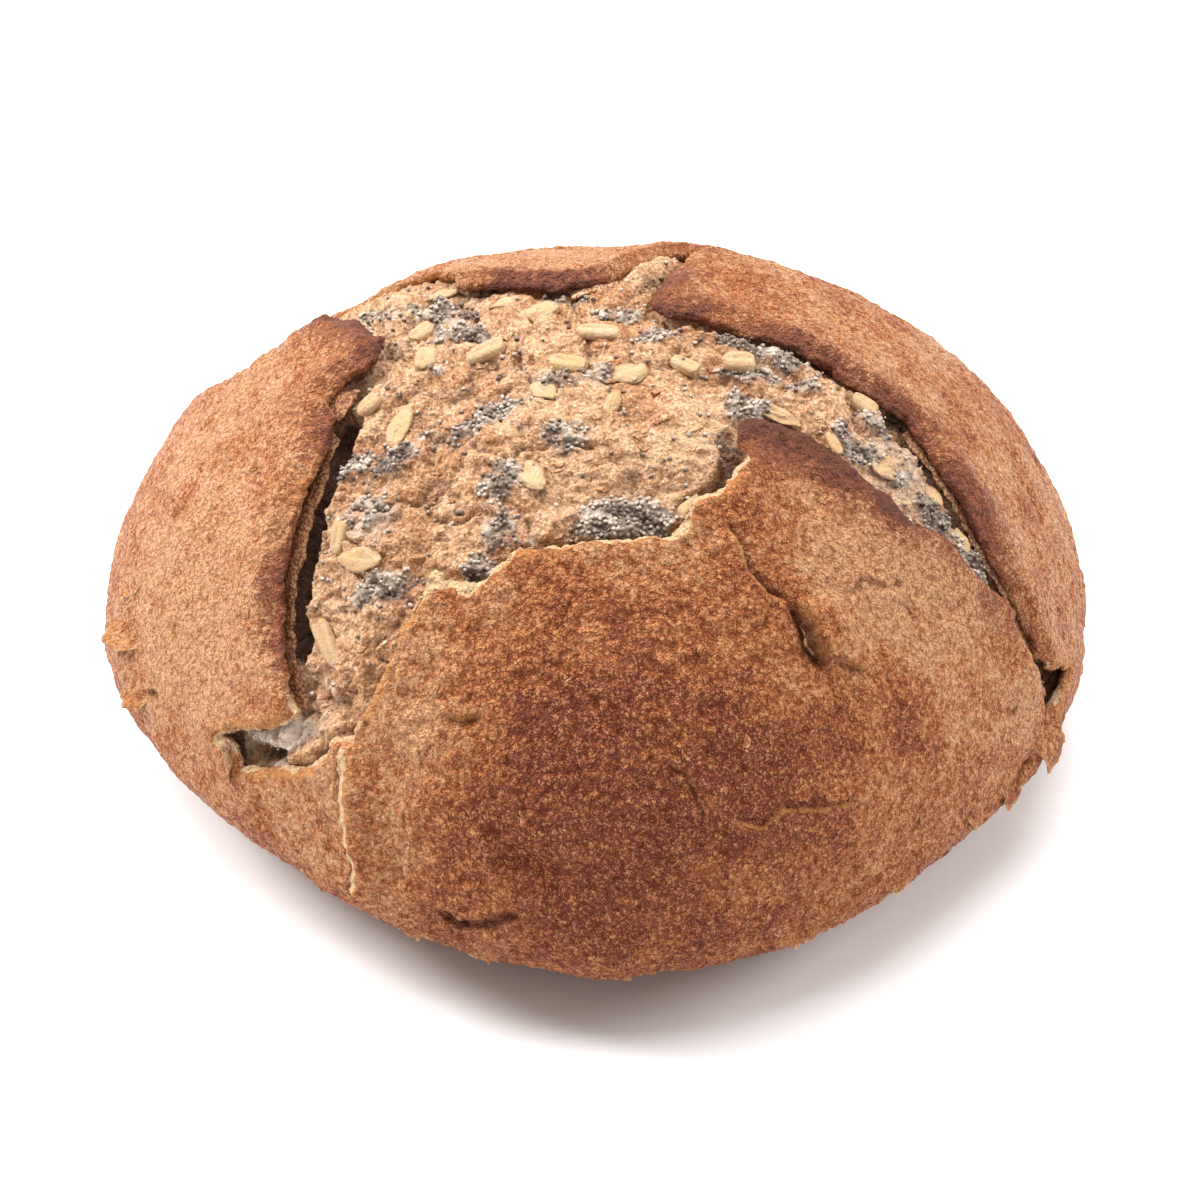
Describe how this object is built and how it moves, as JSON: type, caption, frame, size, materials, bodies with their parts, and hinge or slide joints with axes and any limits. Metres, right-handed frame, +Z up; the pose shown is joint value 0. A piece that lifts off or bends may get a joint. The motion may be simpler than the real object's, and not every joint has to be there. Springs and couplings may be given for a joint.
{
  "type": "sourdough bread",
  "caption": "Round domed sourdough bread whose thin browned crust has torn open on top around a floury, seeded dough.",
  "frame": {"origin": "middle of the flat spot that the bread rests on", "axes": "+Z up, +X to the bread's right and +Y to its back, as the picture looks at it"},
  "size_m": [0.2127, 0.1936, 0.1148],
  "materials": {
    "crust": "baked brown crust, matt to faintly satin, finely grained",
    "dough": "floury bare dough, matt"
  },
  "bodies": {
    "root": {"loaf": "crust"}
  },
  "joints": []
}
